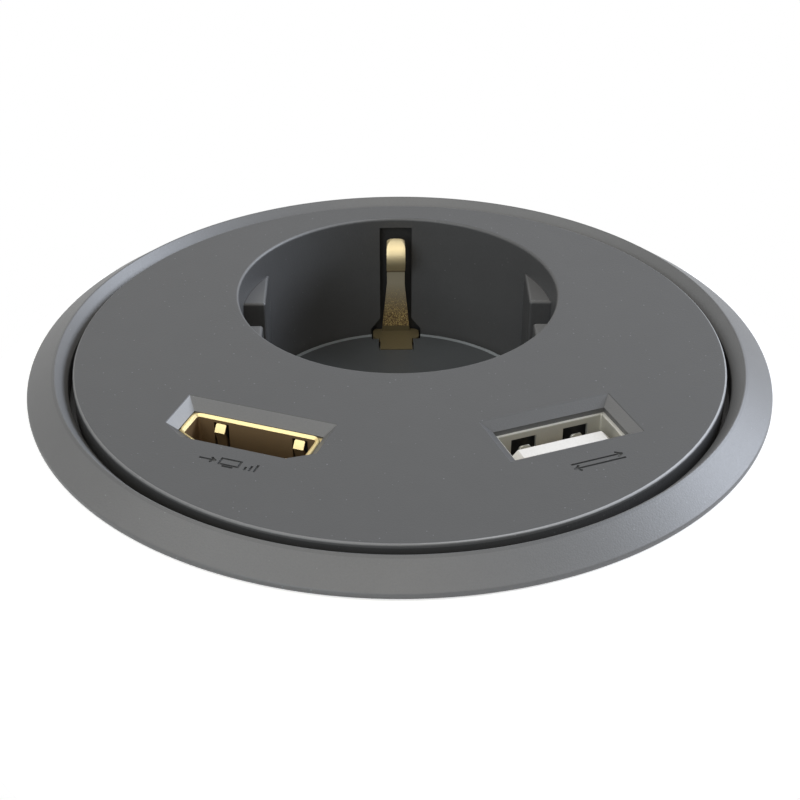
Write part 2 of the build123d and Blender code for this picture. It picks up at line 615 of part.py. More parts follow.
def make_data_shell(mouth):
    """Flat sheet shell with a flange and two sprung fingers in windows of its far wall."""
    width, height = DATA_TUBE
    with BuildPart() as shell:
        with BuildSketch(mouth):
            add(rectangle_outline(*DATA_FLANGE))
        extrude(amount=-SHEET)
        with BuildSketch(mouth):
            add(rectangle_outline(width, height, 0, DATA_CORNER))
        extrude(amount=-DATA_DEPTH)
        with BuildSketch(mouth):
            add(rectangle_outline(width, height, -SHEET, DATA_CORNER - SHEET))
        extrude(amount=-DATA_DEPTH, mode=Mode.SUBTRACT)
        with BuildSketch(mouth.offset(DATA_WINDOW_TOP)):
            with Locations(*((across, height / 2) for across in DATA_FINGERS)):
                Rectangle(DATA_WINDOW_W, 4 * SHEET)
        extrude(amount=-5.6, mode=Mode.SUBTRACT)
        wall = height / 2
        side = [(wall, -6.6), (wall, -6.2), (wall - 0.15, -3.6), (wall - 0.7, -2.7),
                (wall - 0.5, -1.7), (wall - 0.8, -1.5), (wall - 1.05, -2.7),
                (wall - 0.45, -3.7), (wall - SHEET, -6.2), (wall - SHEET, -6.6)]
        for across in DATA_FINGERS:
            add(make_shell_finger(mouth, across, DATA_FINGER_W, 0.7, side))
    return shell.part


def make_data_tongue(mouth):
    """Insulator of the data socket: base block and a broad tongue below the middle."""
    base, (across, thickness, middle) = 3.0, DATA_TONGUE
    with BuildPart() as tongue:
        with BuildSketch(mouth.offset(-DATA_DEPTH)):
            add(rectangle_outline(*DATA_TUBE, -SHEET - FIT, DATA_CORNER - SHEET))
        extrude(amount=base)
        with BuildSketch(mouth.offset(-DATA_DEPTH)):
            with Locations((0, middle)):
                Rectangle(across, thickness)
        extrude(amount=DATA_DEPTH - DATA_TIP)
        chamfer(tongue.faces().sort_by_distance(mouth.origin)[0].edges(), 0.3)
        with BuildSketch(mouth.offset(-DATA_DEPTH)):
            add(data_contact_row())
        extrude(amount=base, mode=Mode.SUBTRACT)
    return tongue.part


def data_contact_row():
    """Sections of the four strips on the tongue's far face."""
    strip_w, strip_t = 1.2, 0.15
    face = DATA_TONGUE[2] + (DATA_TONGUE[1] + strip_t) / 2
    with BuildSketch() as row:
        with Locations((-3.5, face), (-1.0, face), (1.0, face), (3.5, face)):
            Rectangle(strip_w, strip_t)
    return row.sketch


def make_data_contacts(mouths):
    """Straight strips from each tongue to the board's ends."""
    tail, tip = 2.2, 1.2
    with BuildPart() as contacts:
        for mouth in mouths:
            with BuildSketch(mouth.offset(-DATA_DEPTH - tail)):
                add(data_contact_row())
            extrude(amount=DATA_DEPTH + tail - tip)
    return contacts.part


def make_board(plane, top, bottom, width, face):
    """Circuit board on edge between two sockets, one broad side at v = face."""
    thickness = 1.6
    with BuildPart() as board:
        with BuildSketch(plane(bottom + FIT)):
            with Locations((0, face - thickness / 2)):
                Rectangle(width, thickness)
        extrude(amount=top - bottom - 2 * FIT)
    return board.part


def make_rear_cover():
    """Cup with three screw tubes, two port openings and the gland's hole in its floor."""
    with BuildPart() as rear_cover:
        with BuildSketch(Plane.XY.offset(COVER_END)):
            Circle(COVER_R)
        extrude(amount=COVER_RIM - COVER_END)
        fillet(rear_cover.faces().sort_by(Axis.Z)[0].edges(), 1.6)
        with BuildSketch(Plane.XY.offset(COVER_FLOOR)):
            Circle(COVER_R - COVER_WALL)
        extrude(amount=COVER_RIM - COVER_FLOOR, mode=Mode.SUBTRACT)
        # Screw tubes up to the bosses, and low fences that locate the rear sockets
        with BuildSketch(Plane.XY.offset(COVER_FLOOR)):
            with Locations(*COVER_SCREWS):
                Circle(4.3)
        extrude(amount=BOSS_END - COVER_FLOOR)
        with BuildSketch(video_plane(COVER_FLOOR)):
            add(trapezoid_outline(*VIDEO_FLANGE, grow=SLEEVE_WALL))
            add(trapezoid_outline(*VIDEO_FLANGE, grow=2 * FIT), mode=Mode.SUBTRACT)
        extrude(amount=1.5)
        with BuildSketch(data_plane(COVER_FLOOR)):
            add(rectangle_outline(*DATA_FLANGE, grow=SLEEVE_WALL))
            add(rectangle_outline(*DATA_FLANGE, grow=2 * FIT), mode=Mode.SUBTRACT)
        extrude(amount=1.5)
        # Holes: screws with deep counterbores, the gland, the two bevelled ports
        with BuildSketch(Plane.XY.offset(COVER_END)):
            with Locations(*COVER_SCREWS):
                Circle(3.2)
        extrude(amount=COVER_SEAT - COVER_END, mode=Mode.SUBTRACT)
        with BuildSketch(Plane.XY.offset(COVER_SEAT)):
            with Locations(*COVER_SCREWS):
                Circle(1.7)
        extrude(amount=BOSS_END - COVER_SEAT, mode=Mode.SUBTRACT)
        with BuildSketch(at_well(COVER_END)):
            Circle(GLAND_R + 0.1)
        extrude(amount=COVER_WALL, mode=Mode.SUBTRACT)
        with BuildSketch(video_plane(COVER_END)):
            add(trapezoid_outline(*VIDEO_POCKET, shift=VIDEO_SHIFT))
        with BuildSketch(video_plane(COVER_END + VIDEO_BEVEL)):
            add(trapezoid_outline(*VIDEO_OPENING, shift=VIDEO_SHIFT))
        loft(ruled=True, mode=Mode.SUBTRACT)
        with BuildSketch(video_plane(COVER_FLOOR)):
            add(trapezoid_outline(*VIDEO_OPENING, shift=VIDEO_SHIFT))
        extrude(amount=VIDEO_BEVEL - COVER_WALL, mode=Mode.SUBTRACT)
        with BuildSketch(data_plane(COVER_END)):
            add(rectangle_outline(*DATA_POCKET))
        with BuildSketch(data_plane(COVER_END + DATA_BEVEL)):
            add(rectangle_outline(*DATA_OPENING))
        loft(ruled=True, mode=Mode.SUBTRACT)
        with BuildSketch(data_plane(COVER_FLOOR)):
            add(rectangle_outline(*DATA_OPENING))
        extrude(amount=DATA_BEVEL - COVER_WALL, mode=Mode.SUBTRACT)
    return rear_cover.part


def make_gland_body():
    """Hexagon flange outside the floor, threaded shank inside, seal seat below."""
    flange_end = COVER_END - GLAND_FLANGE_T
    with BuildPart() as gland_body:
        with BuildSketch(at_well(COVER_END)):
            RegularPolygon(GLAND_HEX / 2, 6, major_radius=False)
        extrude(amount=-GLAND_FLANGE_T)
        with BuildSketch(at_well(COVER_END)):
            Circle(GLAND_R)
        extrude(amount=5.4)
        with BuildSketch(at_well(flange_end)):
            Circle(7.6)
        extrude(amount=-5.0)
        with BuildSketch(at_well(COVER_END + 5.4)):
            Circle(GLAND_BORE_R)
        extrude(amount=-5.4 - GLAND_FLANGE_T - 5.0, mode=Mode.SUBTRACT)
        with BuildSketch(at_well(flange_end - 5.0)):
            Circle(6.4)
        extrude(amount=4.0, mode=Mode.SUBTRACT)
    return gland_body.part


def make_gland_locknut():
    """Flat nut on the gland's shank inside the cover."""
    with BuildPart() as gland_locknut:
        with BuildSketch(at_well(COVER_FLOOR)):
            RegularPolygon(GLAND_HEX / 2, 6, major_radius=False)
            Circle(GLAND_R + 0.05, mode=Mode.SUBTRACT)
        extrude(amount=2.8)
    return gland_locknut.part


def make_gland_seal():
    """Rubber sleeve that grips the lead."""
    seat = COVER_END - GLAND_FLANGE_T - 1.0
    with BuildPart() as gland_seal:
        with BuildSketch(at_well(seat)):
            Circle(6.3)
            Circle(LEAD_R, mode=Mode.SUBTRACT)
        extrude(amount=-6.5)
    return gland_seal.part


def make_gland_nut():
    """Hexagon nut with a domed end that presses the seal on the lead."""
    nut_top = COVER_END - GLAND_FLANGE_T - 0.4
    hex_end, corner_r = -56.0, GLAND_HEX / 3 ** 0.5
    with BuildPart() as gland_nut:
        with BuildSketch(Plane.XZ.offset(-WELL_Y)):
            with BuildLine():
                Polyline((5.2, GLAND_END), (6.4, GLAND_END))
                RadiusArc((6.4, GLAND_END), (9.7, hex_end), -5.0)
                Polyline((9.7, hex_end), (corner_r, hex_end + 0.9), (corner_r, nut_top - 0.9),
                         (corner_r - 1.5, nut_top), (7.7, nut_top), (7.7, -54.2), (6.5, -54.4),
                         (6.5, -56.6), (5.2, -57.2), (5.2, GLAND_END))
            make_face()
        revolve(axis=Axis((0, WELL_Y, 0), (0, 0, 1)))
        with BuildSketch(at_well(GLAND_END)):
            RegularPolygon(GLAND_HEX / 2, 6, major_radius=False)
        extrude(amount=nut_top - GLAND_END, mode=Mode.INTERSECT)
    return gland_nut.part


def make_clamp_washer():
    """Washer under the desk with two keys that run in the collar's keyways."""
    inner_r = COLLAR_R + 0.3
    with BuildPart() as clamp_washer:
        with BuildSketch(Plane.XY.offset(-DESK_T)):
            Circle(45.0)
            Circle(inner_r, mode=Mode.SUBTRACT)
            with PolarLocations(inner_r, 2):
                Rectangle(2 * (inner_r - COLLAR_R + 0.7), KEYWAY_W - 0.4)
        extrude(amount=-1.5)
    return clamp_washer.part


def make_lock_nut():
    """Ring nut on the collar: bearing flange on top, grip lobes below."""
    top, flange_t, height, lobes = -DESK_T - 1.55, 2.0, 9.0, 12
    with BuildPart() as lock_nut:
        with BuildSketch(Plane.XY.offset(top)):
            Circle(46.0)
        extrude(amount=-flange_t)
        with BuildSketch(Plane.XY.offset(top - flange_t)) as grip:
            Circle(43.0)
            with PolarLocations(43.0, lobes):
                Rectangle(4.6, 7.0)
            fillet(grip.vertices(), 0.8)
        extrude(amount=flange_t - height)
        chamfer(lock_nut.faces().sort_by(Axis.Z)[0].edges(), 0.5)
        with BuildSketch(Plane.XY.offset(top)):
            Circle(COLLAR_R + 0.3)
        extrude(amount=-height, mode=Mode.SUBTRACT)
    return lock_nut.part


well_side = [(x, WELL_Y) for x in (-BLOCK_EAR_X, BLOCK_EAR_X)]
terminals = [(-PIN_X, WELL_Y + TERMINAL_Y), (PIN_X, WELL_Y + TERMINAL_Y),
             (0, WELL_Y + EARTH_TERMINAL_Y)]
video_front, video_rear = video_plane(VIDEO_MOUTH_Z), video_plane(COVER_FLOOR, way=-1)
data_front, data_rear = data_plane(DATA_MOUTH_Z), data_plane(COVER_FLOOR, way=-1)

pieces = {
    "trim_ring": make_trim_ring(),
    "desk_seal": make_desk_seal(),
    "face_plate": make_face_plate(),
    "well_floor": make_well_floor(),
    "earth_spring": make_earth_spring(),
    "contact_block": make_contact_block(),
    "shutter": make_shutter(),
    "shutter_spring": make_shutter_spring(),
    "live_contact": make_pin_contact(-PIN_X),
    "neutral_contact": make_pin_contact(PIN_X),
    "terminal_screws": make_screws(terminals, BLOCK_END - STRIP_T, -29.0, TERMINAL_R, 3.0, 2.2),
    "block_screws": make_screws(well_side, FLOOR_UNDER - BLOCK_FLANGE_T, -7.5, SCREW_R,
                                SCREW_HEAD_R, SCREW_HEAD_T),
    "video_shell": make_video_shell(video_front),
    "video_tongue": make_video_tongue(video_front),
    "video_contacts": make_video_contacts([video_front, video_rear]),
    "video_board": make_board(video_plane, VIDEO_MOUTH_Z - VIDEO_DEPTH,
                              COVER_FLOOR + VIDEO_DEPTH, 13.0, VIDEO_TONGUE[1] / 2),
    "video_rear_shell": make_video_shell(video_rear),
    "video_rear_tongue": make_video_tongue(video_rear),
    "data_shell": make_data_shell(data_front),
    "data_tongue": make_data_tongue(data_front),
    "data_contacts": make_data_contacts([data_front, data_rear]),
    "data_board": make_board(data_plane, DATA_MOUTH_Z - DATA_DEPTH, COVER_FLOOR + DATA_DEPTH,
                             12.0, DATA_TONGUE[2] + DATA_TONGUE[1] / 2),
    "data_rear_shell": make_data_shell(data_rear),
    "data_rear_tongue": make_data_tongue(data_rear),
    "rear_cover": make_rear_cover(),
    "cover_screws": make_screws(COVER_SCREWS, COVER_SEAT, -8.5, SCREW_R, SCREW_HEAD_R,
                                SCREW_HEAD_T),
    "gland_body": make_gland_body(),
    "gland_locknut": make_gland_locknut(),
    "gland_seal": make_gland_seal(),
    "gland_nut": make_gland_nut(),
    "clamp_washer": make_clamp_washer(),
    "lock_nut": make_lock_nut(),
}

os.makedirs("parts", exist_ok=True)
for name, piece in pieces.items():
    piece.label = name
    export_step(piece, f"parts/{name}.step")
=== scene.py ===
"""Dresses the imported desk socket: finishes, threads, engraved marks and the studio view.

Everything is in metres in the part's own frame: Z = 0 is the desk's top surface, +Z points
up out of the desk, +Y to the mains well and +X to the data port. Sizes are written in
millimetres and multiplied by mm.
"""

import json
from math import atan2, cos, pi, radians, sin, tan

import bmesh
import bpy
from mathutils import Matrix, Vector
from mathutils.kdtree import KDTree

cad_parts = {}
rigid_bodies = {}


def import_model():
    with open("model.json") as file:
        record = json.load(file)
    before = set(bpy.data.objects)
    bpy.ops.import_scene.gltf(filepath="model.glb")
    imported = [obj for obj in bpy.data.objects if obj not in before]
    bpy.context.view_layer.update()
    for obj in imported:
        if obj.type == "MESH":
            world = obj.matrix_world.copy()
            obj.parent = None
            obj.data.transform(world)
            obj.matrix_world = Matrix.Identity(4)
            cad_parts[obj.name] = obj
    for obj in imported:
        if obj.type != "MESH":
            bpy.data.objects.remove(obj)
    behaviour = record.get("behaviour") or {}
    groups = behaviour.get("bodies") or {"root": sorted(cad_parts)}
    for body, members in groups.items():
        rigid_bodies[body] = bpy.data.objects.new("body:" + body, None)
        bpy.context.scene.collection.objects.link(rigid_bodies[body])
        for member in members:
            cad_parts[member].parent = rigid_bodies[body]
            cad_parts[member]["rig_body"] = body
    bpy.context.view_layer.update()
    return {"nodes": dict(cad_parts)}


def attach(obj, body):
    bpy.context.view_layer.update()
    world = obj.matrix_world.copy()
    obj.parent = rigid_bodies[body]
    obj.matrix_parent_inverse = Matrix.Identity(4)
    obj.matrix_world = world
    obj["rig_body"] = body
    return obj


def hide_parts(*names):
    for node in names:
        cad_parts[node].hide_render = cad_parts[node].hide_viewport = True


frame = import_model()
nodes = frame["nodes"]
mm = 0.001

# The view. The socket sits in a plain white desk top, seen from in front and above. The desk
# is one thin sheet round the flange, longer in front, and drawn from above only, so that
# views from the sides, the back and below show the body that hangs under the desk.


class Wire:
    """One value in a finish. Python's operators on it add the Math nodes."""

    def __init__(self, finish, socket):
        self.finish, self.socket = finish, socket

    def math(self, operation, *values):
        return self.finish.node("ShaderNodeMath", {"operation": operation},
                                dict(enumerate(values)))

    def output(self, name):
        """Another output of the node that this value comes from."""
        return Wire(self.finish, self.socket.node.outputs[name])

    def __add__(self, other):
        return self.math("ADD", self, other)

    def __radd__(self, other):
        return self.math("ADD", other, self)

    def __sub__(self, other):
        return self.math("SUBTRACT", self, other)

    def __rsub__(self, other):
        return self.math("SUBTRACT", other, self)

    def __mul__(self, other):
        return self.math("MULTIPLY", self, other)

    def __rmul__(self, other):
        return self.math("MULTIPLY", other, self)

    def __truediv__(self, other):
        return self.math("DIVIDE", self, other)

    def __gt__(self, other):
        return self.math("GREATER_THAN", self, other)

    def __lt__(self, other):
        return self.math("LESS_THAN", self, other)

    def larger(self, other):
        return self.math("MAXIMUM", self, other)

    def limited(self):
        """The value held between 0 and 1."""
        return self.finish.node("ShaderNodeClamp", {}, {"Value": self})


class Finish:
    """The nodes of one material, or of the world."""

    def __init__(self, owner):
        self.owner = owner
        owner.use_nodes = True
        self.tree = owner.node_tree
        self.tree.nodes.clear()

    def node(self, kind, settings=None, sockets=None, out=0):
        """Adds a node: its settings first, then the values or links of its sockets."""
        made = self.tree.nodes.new(kind)
        for name, value in (settings or {}).items():
            setattr(made, name, value)
        for name, value in (sockets or {}).items():
            socket = made.inputs[name]
            if isinstance(value, Wire):
                self.tree.links.new(value.socket, socket)
            elif socket.type == "RGBA":
                socket.default_value = (*value, 1.0)
            else:
                socket.default_value = value
        return Wire(self, made.outputs[out]) if len(made.outputs) else None

    def place(self):
        """A point's place in the frame as three values, in metres."""
        where = self.node("ShaderNodeTexCoord", out="Object")
        x = self.node("ShaderNodeSeparateXYZ", {}, {0: where})
        return where, x, x.output("Y"), x.output("Z")

    def seen(self):
        """1 on rays that the camera sees, straight, mirrored or through glass, and else 0."""
        path = self.node("ShaderNodeLightPath", out="Is Camera Ray")
        return path.larger(path.output("Is Glossy Ray")).larger(path.output("Is Transmission Ray"))

    def noise(self, where, scale, detail=2.0, rough=0.5):
        """Noise of about 0.5, its scale in features per metre."""
        return self.node("ShaderNodeTexNoise", {}, {
            "Vector": where, "Scale": scale, "Detail": detail, "Roughness": rough})

    def tone(self, colour, amount):
        """A colour made darker or lighter by a varying amount."""
        return self.node("ShaderNodeVectorMath", {"operation": "SCALE"},
                         {0: colour, "Scale": amount})

    def mix(self, amount, below, above):
        """One colour over another by an amount from 0 to 1."""
        return self.node("ShaderNodeMix", {"data_type": "RGBA", "clamp_factor": True},
                         {0: amount, 6: below, 7: above}, 2)


def paint(red, green, blue):
    """A screen colour, each part 0 to 255, as the linear colour that a shader takes."""
    return tuple(((c / 255 + 0.055) / 1.055) ** 2.4 if c > 10 else c / 255 / 12.92
                 for c in (red, green, blue))


def make_object(name, data):
    """Puts an object with a mesh, a camera or a lamp into the scene."""
    made = bpy.data.objects.new(name, data)
    bpy.context.scene.collection.objects.link(made)
    return made


camera = make_object("camera", bpy.data.cameras.new("camera"))
camera.location = Vector((-2.64, -160.98, 98.09)) * mm
camera_way = Vector((0.01397, 0.84227, -0.53893))
camera.rotation_euler = camera_way.to_track_quat("-Z", "Y").to_euler()
camera.data.sensor_width, camera.data.lens = 36.0, 71.9
camera.data.clip_start, camera.data.clip_end = 0.005, 10.0
bpy.context.scene.camera = camera
bpy.context.scene.view_settings.view_transform = "Standard"


def add_lamp(name, azimuth, height, size, watts, colour, distance=0.65):
    """A soft box turned to the socket, its azimuth and height in degrees, the rest in metres."""
    lamp = make_object(name, bpy.data.lights.new(name, "AREA"))
    lamp.data.shape, lamp.data.size, lamp.data.size_y = "RECTANGLE", *size
    lamp.data.energy, lamp.data.color = watts, colour
    way = Vector((cos(radians(azimuth)) * cos(radians(height)),
                  sin(radians(azimuth)) * cos(radians(height)), sin(radians(height))))
    lamp.location = distance * way
    lamp.rotation_euler = (-way).to_track_quat("-Z", "Y").to_euler()


add_lamp("softbox_right", 18.0, 28.0, (0.36, 0.3), 5.2, (0.80, 0.87, 1.0))
add_lamp("softbox_left", -123.0, 28.0, (0.3, 0.3), 1.55, (0.85, 0.93, 1.0))
add_lamp("softbox_front", -90.0, 58.0, (0.3, 0.3), 1.0, (1.0, 0.92, 0.78))
add_lamp("softbox_top", 180.0, 58.0, (0.3, 0.3), 1.15, (1.0, 0.99, 0.96))

# The room is white where it is seen, and lights the socket with a fifth of that.
room = Finish(bpy.data.worlds.new("room"))
bpy.context.scene.world = room.owner
room.node("ShaderNodeOutputWorld", {}, {"Surface": room.node("ShaderNodeBackground", {}, {
    "Color": (1.0, 1.0, 1.0), "Strength": 0.2 + 0.8 * room.seen()})})

# The sheet lies between two outlines, each a half width, a half length and a middle along Y.
outlines, spokes, desk_z, glow = ((42.2, 42.2, 0.0), (50.0, 64.0, -19.0)), 96, -0.02, 0.42
desk = bpy.data.meshes.new("desk_top")
desk.from_pydata([(half_x * mm * cos(2 * pi * k / spokes),
                   (half_y * sin(2 * pi * k / spokes) + middle) * mm, desk_z * mm)
                  for half_x, half_y, middle in outlines for k in range(spokes)], [],
                 [(k, (k + 1) % spokes, (k + 1) % spokes + spokes, k + spokes)
                  for k in range(spokes)])
desk.flip_normals()
desk = make_object("desk_top", desk)
white = Finish(bpy.data.materials.new("desk_white"))
sheet = white.node("ShaderNodeAddShader", {}, {
    0: white.node("ShaderNodeBsdfDiffuse", {}, {"Color": (0.8, 0.8, 0.8)}),
    1: white.node("ShaderNodeEmission", {}, {
        "Color": (1.0, 1.0, 1.0), "Strength": glow * white.seen()})})
under = white.node("ShaderNodeNewGeometry", out="Backfacing")
white.node("ShaderNodeOutputMaterial", {}, {"Surface": white.node("ShaderNodeMixShader", {}, {
    0: under, 1: sheet, 2: white.node("ShaderNodeBsdfTransparent")})})
desk.data.materials.append(white.owner)

# The trim ring. One moulding in anthracite plastic with a fine spark texture: the cone that
# rests on the desk, and under it the collar, whose trapezoid thread takes the lock nut and
# whose two keyways stop the clamp washer from turning.


def moulded(name, colour, rough=0.5, grain=1.0, flakes=0.0, painted_light_zones=()):
    """Moulded plastic: fine spark texture, slight mottling and a few pale flakes.

    A zone of painted light is (centre x, centre y, least radius, greatest radius, highest z, tone,
    way) in mm. Its tone paints shade or light on the faces in that round zone, such as painted
    shade on a gap's walls. With a way, only the faces that look that way are painted, with a soft
    limit about 35 degrees off it.
    """
    spark_scale, mottle_scale, flake_scale = 5200.0, 260.0, 1500.0
    off_way, on_way = 0.78, 0.88
    finish = Finish(bpy.data.materials.new(name))
    where, x, y, z = finish.place()
    fine = finish.noise(where, spark_scale, 3.0, 0.62)
    broad = finish.noise(where, mottle_scale)
    spark_and_painted_light = 0.86 + 0.26 * fine + 0.10 * (broad - 0.5)
    looks = finish.node("ShaderNodeNewGeometry", out="True Normal")
    # Each zone paints light or shade: its tone lightens or darkens the faces in it.
    for middle_x, middle_y, least, most, top, tone, way in painted_light_zones:
        across, along = x - middle_x * mm, y - middle_y * mm
        square = across * across + along * along
        painted_light_mask = (square > (least * mm) ** 2) * (square < (most * mm) ** 2) * (z < top * mm)
        if way:
            along_way = finish.node("ShaderNodeVectorMath", {"operation": "DOT_PRODUCT"},
                                    {0: looks, 1: way}, "Value")
            painted_light_mask = painted_light_mask * ((along_way - off_way) / (on_way - off_way)).limited()
        spark_and_painted_light = spark_and_painted_light * (1 + (tone - 1) * painted_light_mask)
    base = finish.tone(colour, spark_and_painted_light)
    if flakes:
        spots = finish.node("ShaderNodeTexVoronoi", {}, {
            "Vector": where, "Scale": flake_scale, "Randomness": 1.0})
        chance = finish.node("ShaderNodeSeparateColor", {}, {0: spots.output("Color")})
        spot = (spots < 0.05 + 0.09 * chance.output("Green")) * (chance < flakes)
        base = finish.mix(spot * (0.05 + 0.3 * chance.output("Blue")), base, paint(150, 153, 156))
    bump = finish.node("ShaderNodeBump", {}, {
        "Height": fine, "Strength": 0.35 * grain, "Distance": 0.00006})
    shader = finish.node("ShaderNodeBsdfPrincipled", {}, {
        "Base Color": base, "Roughness": rough - 0.08 + 0.16 * fine, "Normal": bump})
    finish.node("ShaderNodeOutputMaterial", {}, {"Surface": shader})
    return finish.owner


def show(piece, finish, node):
    """Shows a new piece in a CAD node's place: its finish and the body it rides on."""
    piece.data.materials.clear()
    piece.data.materials.append(finish)
    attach(piece, nodes[node]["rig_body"])
    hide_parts(node)


def shade_by_edges(piece, sharp=32):
    """Smooth shading that keeps flat faces flat, and edges sharp from an angle in degrees."""
    piece.data.shade_smooth()
    piece.data.set_sharp_from_angle(angle=radians(sharp))
    piece.modifiers.new("flat_faces", "WEIGHTED_NORMAL").keep_sharp = True


def rounded(corners, steps=4):
    """A closed profile of (x, z, radius) corners as points, with an arc at each radius."""
    points = []
    for i, (x, z, radius) in enumerate(corners):
        here = Vector((x, z))
        if not radius:
            points.append(here)
            continue
        back = (Vector(corners[i - 1][:2]) - here).normalized()
        ahead = (Vector(corners[(i + 1) % len(corners)][:2]) - here).normalized()
        half = back.angle(ahead) / 2
        middle = here + (back + ahead).normalized() * (radius / sin(half))
        spoke = here + back * (radius / tan(half)) - middle
        turn = spoke.angle_signed(here + ahead * (radius / tan(half)) - middle)
        points += [middle + Matrix.Rotation(-turn * k / steps, 2) @ spoke
                   for k in range(steps + 1)]
    return points


collar_low, chamfer, easing = -38.0, 0.4, 0.1
thread_low, thread_high, pitch, ridges, root_r, crest_r = -37.2, -4.0, 3.0, 14, 38.5, 39.4
keyway_half, keyway_r, keyway_top, keyway_angle = 2.1, 38.3, -2.2, 0.0533
ridge = ((-0.88, root_r), (-0.8, root_r + 0.06), (-0.58, crest_r - 0.06), (-0.5, crest_r),
         (0.5, crest_r), (0.58, crest_r - 0.06), (0.8, root_r + 0.06), (0.88, root_r))


def thread_radius(height):
    """Radius of the threaded collar at a height above the middle of a ridge."""
    offset = abs((height + pitch / 2) % pitch - pitch / 2)
    for (low, low_r), (high, high_r) in zip(ridge[4:], ridge[5:]):
        if offset < high:
            return low_r + (high_r - low_r) * max(offset - low, 0.0) / (high - low)
    return root_r


def collar_column(angle, keyed):
    """Outside of the collar at one angle, from its lower end up to the flange."""
    column = [(root_r - chamfer, collar_low), (root_r, collar_low + chamfer)]
    for turn in range(ridges):
        middle = thread_low + pitch * (turn - 1 + angle / (2 * pi))
        for offset, radius in ridge:
            z = min(max(middle + offset, thread_low), thread_high)
            column.append((radius if z == middle + offset else thread_radius(z - middle), z))
    column += [(root_r, thread_high), (crest_r - easing, thread_high),
               (crest_r, thread_high + easing), (crest_r, keyway_top)]
    if keyed:
        column = [(min(r, keyway_r), z) for r, z in column]
    return column + [(crest_r, keyway_top), (crest_r, 0.0)]


flange = rounded([
    (40.0, 0.0, 0), (40.0, 0.8, 0), (41.6, 0.8, 0), (41.6, 0.0, 0), (43.1, 0.0, 0.3),
    (43.1, 0.7, 0.3), (39.8, 2.95, 0.15), (38.4, 1.2, 0.1), (38.4, -1.0, 0), (35.6, -1.0, 0.1),
    (35.6, -3.0, 0.1), (37.4, -3.0, 0), (37.4, collar_low, 0.1)])

# Evenly spaced columns, but none close to a wall of a keyway, which has two of its own.
steps, wall_room, columns = 256, 0.01, []
for k in range(steps + 1):
    angle = 2 * pi * k / steps
    to_keyway = abs((angle + pi / 2) % pi - pi / 2)
    if abs(to_keyway - keyway_angle) > wall_room:
        columns.append((angle, to_keyway < keyway_angle, False))
for angle, way in ((keyway_angle, 1), (pi - keyway_angle, -1), (pi + keyway_angle, 1),
                   (2 * pi - keyway_angle, -1)):
    columns += [(angle - way * 1e-6, True, True), (angle, False, True)]
points = []
for angle, keyed, at_wall in sorted(columns):
    for radius, z in collar_column(angle, keyed) + [tuple(p) for p in flange]:
        place = Vector((radius * cos(angle), radius * sin(angle), z))
        if at_wall:
            place.y = keyway_half * (1 if place.y > 0 else -1)
            place.x = (radius ** 2 - keyway_half ** 2) ** 0.5 * (1 if place.x > 0 else -1)
        points.append(place * mm)
length = len(points) // len(columns)
ring = bpy.data.meshes.new("trim_ring_turned")
ring.from_pydata(points, [], [
    (c * length + i, (c + 1) * length + i, (c + 1) * length + (i + 1) % length,
     c * length + (i + 1) % length)
    for c in range(len(columns) - 1) for i in range(length)])


def merge(mesh, flat=0.0):
    """Joins coinciding points of a mesh, and its faces that lie within a flat angle."""
    shape = bmesh.new()
    shape.from_mesh(mesh)
    bmesh.ops.remove_doubles(shape, verts=shape.verts, dist=0.001 * mm)
    if flat:
        bmesh.ops.dissolve_limit(shape, angle_limit=radians(flat), verts=shape.verts,
                                 edges=shape.edges)
    shape.to_mesh(mesh)
    shape.free()


merge(ring)
ring = make_object("trim_ring_turned", ring)
shade_by_edges(ring)
axis = (0.0, 0.0)
# Painted shade darkens the gap's wall and the crest, and painted light brightens the inner cone.
gap_wall_painted_shade, inner_cone_painted_light, crest_painted_shade = (0.0, 38.46, 1.6), (38.45, 39.7, 2.9), (39.82, 40.15, 3.0)
show(ring, moulded("ring_moulding", paint(92, 92, 92), 0.46, 1.0, 0.25, [
    (*axis, *gap_wall_painted_shade, 0.4, None), (*axis, *inner_cone_painted_light, 1.2, None), (*axis, *crest_painted_shade, 0.82, None)]),
     "trim_ring")

# The gasket under the flange. A flat ring of closed-cell black foam, punched from sheet and
# pressed into the groove.


def dress(node, material):
    """Gives a CAD node its finish."""
    for place in nodes[node].material_slots:
        place.material = material


dress("desk_seal", moulded("seal_foam", paint(28, 28, 29), 0.8, 1.6))

# The face plate. The round disc with the well's wall, moulded in the same plastic as the
# ring, with a pictogram sunk into it beside each port. It snaps under the ring's ledge, and
# carries the ports and the rear cover on its bosses.


def clean_copy(node, name):
    """A new mesh with a CAD node's shape, its points joined and its flat faces whole."""
    mesh, source = bpy.data.meshes.new(name), nodes[node].data
    mesh.from_pydata([v.co for v in source.vertices], [],
                     [tuple(face.vertices) for face in source.polygons])
    merge(mesh, flat=0.4)
    return mesh


face_z, well_y, rim_r, rim_edge = 2.57, 13.95, 19.75, 0.35


def rim_way(point):
    """The way that the well's rounded rim looks at a point on it, in a list, or an empty one."""
    spoke = Vector((point.x, point.y - well_y * mm))
    across = spoke.length / mm - rim_r - rim_edge
    up = point.z / mm - face_z + rim_edge
    if up < -0.03 or abs(Vector((across, up)).length - rim_edge) > 0.05:
        return []
    return [Vector((*(spoke.normalized() * across), up)).normalized()]


def azimuth_of(row, k):
    """The azimuth about the well of a row's point k, which goes on past the last point."""
    place = row[k % len(row)].co
    return atan2(place.y - well_y * mm, place.x) + k // len(row) * 2 * pi


def fill_strip(shape, above, below):
    """Fills the strip between two rows of points round the well with triangles."""
    a = b = 0
    while a < len(above) or b < len(below):
        pair = below[b % len(below)], above[a % len(above)]
        above_next = azimuth_of(above, a + 1) < azimuth_of(below, b + 1)
        if b == len(below) or a < len(above) and above_next:
            a += 1
            shape.faces.new((*pair, above[a % len(above)]))
        else:
            b += 1
            shape.faces.new((*pair, below[b % len(below)]))


